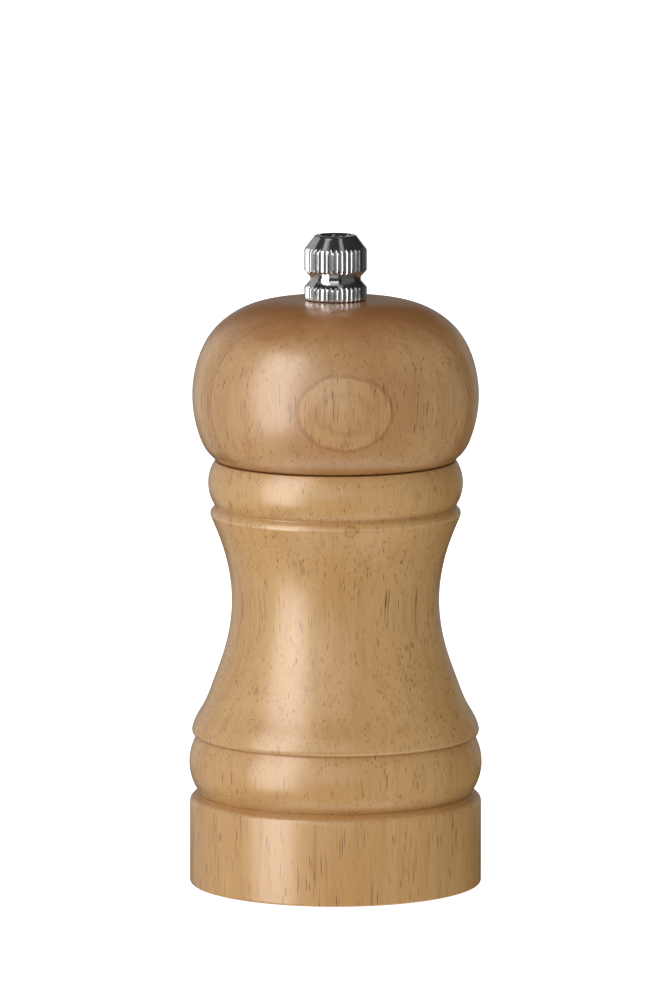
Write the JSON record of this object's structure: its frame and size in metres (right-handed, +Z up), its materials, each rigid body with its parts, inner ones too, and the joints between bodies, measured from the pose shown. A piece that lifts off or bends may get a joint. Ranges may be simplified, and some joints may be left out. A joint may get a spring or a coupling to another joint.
{
  "type": "pepper mill",
  "caption": "Turned wooden pepper mill: waisted body with a hopper bore and a grinder in its foot, a turning domed head, and a knurled metal nut that sets the grind.",
  "frame": {"origin": "centre of the foot's underside, on the turning axis", "axes": "+Z up along the turning axis, -Y towards the front"},
  "size_m": [0.0584, 0.0584, 0.13],
  "materials": {
    "lacquered_wood": "clear gloss lacquer",
    "chrome": "polished plate",
    "steel": "bright drawn",
    "burr_steel": "dark hardened",
    "zinc_plate": "zinc plated",
    "black_nylon": "moulded satin",
    "fibre": "pressed fibre"
  },
  "bodies": {
    "mill_body": {"body": "lacquered_wood", "grinder_housing": "black_nylon", "stator": "burr_steel", "retaining_plate": "steel", "plate_screw_1": "zinc_plate", "plate_screw_2": "zinc_plate", "plate_screw_3": "zinc_plate", "bridge": "steel", "bridge_bush": "black_nylon"},
    "spring_carrier": {"spring_seat": "zinc_plate", "spring": "steel"},
    "grinding_shaft": {"drive_shaft": "steel", "rotor": "burr_steel", "rotor_washer": "zinc_plate", "rotor_nut": "zinc_plate"},
    "mill_head": {"head": "lacquered_wood", "drive_plate": "steel", "drive_plate_screw_1": "zinc_plate", "drive_plate_screw_2": "zinc_plate", "drive_plate_screw_3": "zinc_plate"},
    "washer": {"knob_washer": "fibre"},
    "adjusting_knob": {"knob": "chrome"}
  },
  "joints": [
    {"name": "mill_turn", "type": "hinge", "parent": "mill_body", "child": "spring_carrier", "pos_m": [0, 0, 0.0245], "axis": [0, 0, 1], "continuous": true},
    {"name": "grind_adjust", "type": "slide", "parent": "spring_carrier", "child": "grinding_shaft", "axis": [0, 0, 1], "range_m": [-0.0014, 0.0002], "deforming": ["spring"]},
    {"name": "head_lift", "type": "slide", "parent": "spring_carrier", "child": "mill_head", "axis": [0, 0, 1], "range_m": [0, 0.055]},
    {"name": "knob_lift", "type": "slide", "parent": "mill_head", "child": "washer", "axis": [0, 0, 1], "range_m": [0, 0.02]},
    {"name": "knob_turn", "type": "hinge", "parent": "washer", "child": "adjusting_knob", "pos_m": [0, 0, 0.12], "axis": [0, 0, 1], "range_deg": [-90, 630]}
  ],
  "couplings": [
    {"joint": "knob_turn", "follows": "grind_adjust", "rad_per_m": -7854}
  ]
}
